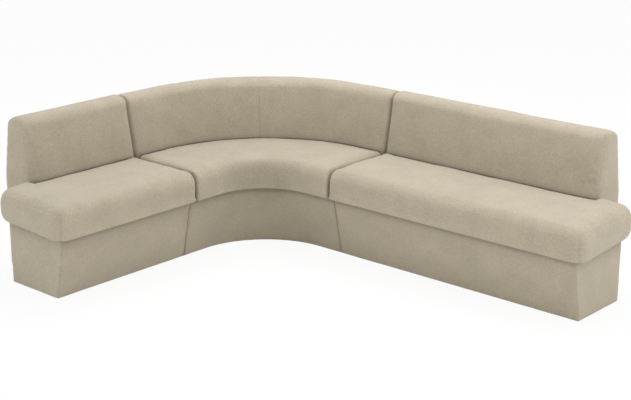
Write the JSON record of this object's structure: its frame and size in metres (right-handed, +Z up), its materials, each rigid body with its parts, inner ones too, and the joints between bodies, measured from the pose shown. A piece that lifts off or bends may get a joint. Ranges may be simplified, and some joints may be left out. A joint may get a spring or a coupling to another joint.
{
  "type": "upholstered banquette bench",
  "caption": "L-shaped upholstered banquette: a short and a long padded bench run joined by a curved corner unit, with overhanging seat cushions and leaning padded backrests.",
  "frame": {"origin": "on the floor, at the middle of the plan bounding box, which lies on open floor inside the L", "axes": "+X runs along the long run towards its free end, -Y runs along the short run towards its free end, +Z is up; the seats face the inside of the L"},
  "size_m": [2.612, 2.007, 0.785],
  "materials": {
    "woven_cloth": "greige woven upholstery cloth with a slightly nubbly surface",
    "dust_cloth": "black non-woven base cloth",
    "plywood": "raw birch plywood",
    "batten_wood": "planed softwood",
    "zinc_steel": "zinc plated",
    "glide_plastic": "moulded nylon"
  },
  "bodies": {
    "root": {"short_front_board": "plywood", "short_end_gable": "plywood", "short_joint_gable": "plywood", "short_rear_board": "plywood", "short_seat_deck": "plywood", "short_base_cover": "woven_cloth", "short_dust_cloth": "dust_cloth", "short_seat_cushion": "woven_cloth", "short_back_board": "plywood", "short_back_end_rib": "plywood", "short_back_joint_rib": "plywood", "short_back_top_rail": "batten_wood", "short_back_foot_rail": "batten_wood", "short_back_web": "plywood", "short_back_pad": "woven_cloth", "short_outside_back": "woven_cloth", "corner_front_board": "plywood", "corner_left_gable": "plywood", "corner_right_gable": "plywood", "corner_mid_gable": "plywood", "corner_rear_board": "plywood", "corner_seat_deck": "plywood", "corner_base_cover": "woven_cloth", "corner_dust_cloth": "dust_cloth", "corner_seat_cushion": "woven_cloth", "corner_back_board": "plywood", "corner_back_left_rib": "plywood", "corner_back_right_rib": "plywood", "corner_back_mid_rib": "plywood", "corner_back_top_rail": "batten_wood", "corner_back_foot_rail": "batten_wood", "corner_back_web": "plywood", "corner_back_pad": "woven_cloth", "corner_outside_back": "woven_cloth", "long_front_board": "plywood", "long_end_gable": "plywood", "long_joint_gable": "plywood", "long_mid_gable": "plywood", "long_rear_board": "plywood", "long_seat_deck": "plywood", "long_base_cover": "woven_cloth", "long_dust_cloth": "dust_cloth", "long_seat_cushion": "woven_cloth", "long_back_board": "plywood", "long_back_end_rib": "plywood", "long_back_joint_rib": "plywood", "long_back_mid_rib": "plywood", "long_back_top_rail": "batten_wood", "long_back_foot_rail": "batten_wood", "long_back_web": "plywood", "long_back_pad": "woven_cloth", "long_outside_back": "woven_cloth", "glides": "glide_plastic", "joint_bolts": "zinc_steel", "joint_nuts": "zinc_steel", "frame_bolts": "zinc_steel", "frame_nuts": "zinc_steel"}
  },
  "joints": []
}
